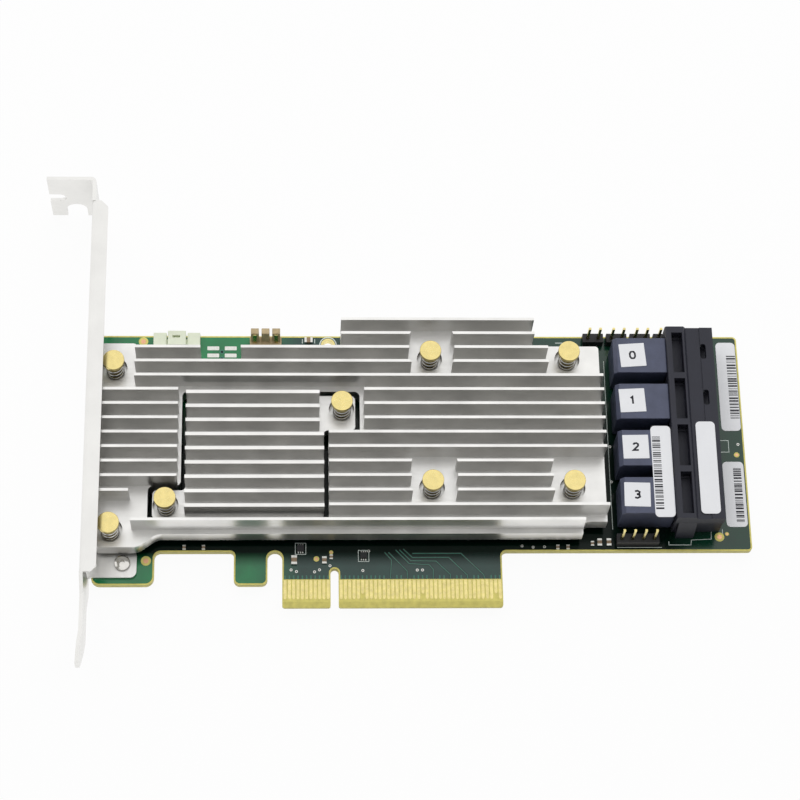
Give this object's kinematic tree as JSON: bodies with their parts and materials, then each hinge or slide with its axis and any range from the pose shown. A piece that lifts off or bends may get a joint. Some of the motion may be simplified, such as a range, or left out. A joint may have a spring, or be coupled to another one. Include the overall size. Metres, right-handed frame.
{
  "type": "raid controller card",
  "caption": "Low-profile RAID controller card on a full-height bracket, with two finned heatsinks and four internal drive ports",
  "frame": {"origin": "middle of the key notch of the edge connector, at the lower edge of the contact tab and on the component face of the board", "axes": "+X along the board from the bracket to the far end, +Y from the edge contacts to the opposite long edge, +Z out of the component side"},
  "size_m": [0.1675, 0.12, 0.0184],
  "materials": {
    "board_laminate": "solder mask, satin gloss",
    "contact_gold": "polished gold plate",
    "zinc_steel": "satin zinc plate",
    "heatsink_aluminium": "milled, satin",
    "pin_brass": "turned, polished",
    "spring_steel": "bright wire",
    "port_plastic": "fine moulded matte",
    "port_body_plastic": "satin, bluish",
    "header_plastic": "matte",
    "cream_plastic": "matte, translucent look",
    "amber_plastic": "satin",
    "tin_plate": "dull tin",
    "chip_black": "moulded matte",
    "ceramic": "fired ceramic with tinned ends",
    "thermal_pad": "soft matte"
  },
  "bodies": {
    "root": {"circuit_board": "board_laminate", "edge_contacts_component_side": "contact_gold", "edge_contacts_solder_side": "contact_gold", "bracket": "zinc_steel", "bracket_screws": "zinc_steel", "bracket_nuts": "zinc_steel", "main_heatsink": "heatsink_aluminium", "controller_heatsink": "heatsink_aluminium", "main_heatsink_pins": "pin_brass", "controller_heatsink_pins": "pin_brass", "main_heatsink_springs": "spring_steel", "controller_heatsink_springs": "spring_steel", "controller_substrate": "board_laminate", "controller_lid": "chip_black", "controller_thermal_pad": "thermal_pad", "memory_chips": "chip_black", "memory_thermal_pads": "thermal_pad", "power_coils": "chip_black", "boot_flash": "chip_black", "port_housing": "port_plastic", "port_body_0": "port_body_plastic", "port_body_1": "port_body_plastic", "port_body_2": "port_body_plastic", "port_body_3": "port_body_plastic", "port_contacts_0": "contact_gold", "port_contacts_1": "contact_gold", "port_contacts_2": "contact_gold", "port_contacts_3": "contact_gold", "port_solder_tails": "tin_plate", "header_bodies": "header_plastic", "header_pins": "contact_gold", "cache_connector": "cream_plastic", "jumper_block": "amber_plastic", "jumper_blades": "contact_gold", "small_ceramics": "ceramic", "small_chips": "chip_black", "back_capacitors": "ceramic"}
  },
  "joints": []
}
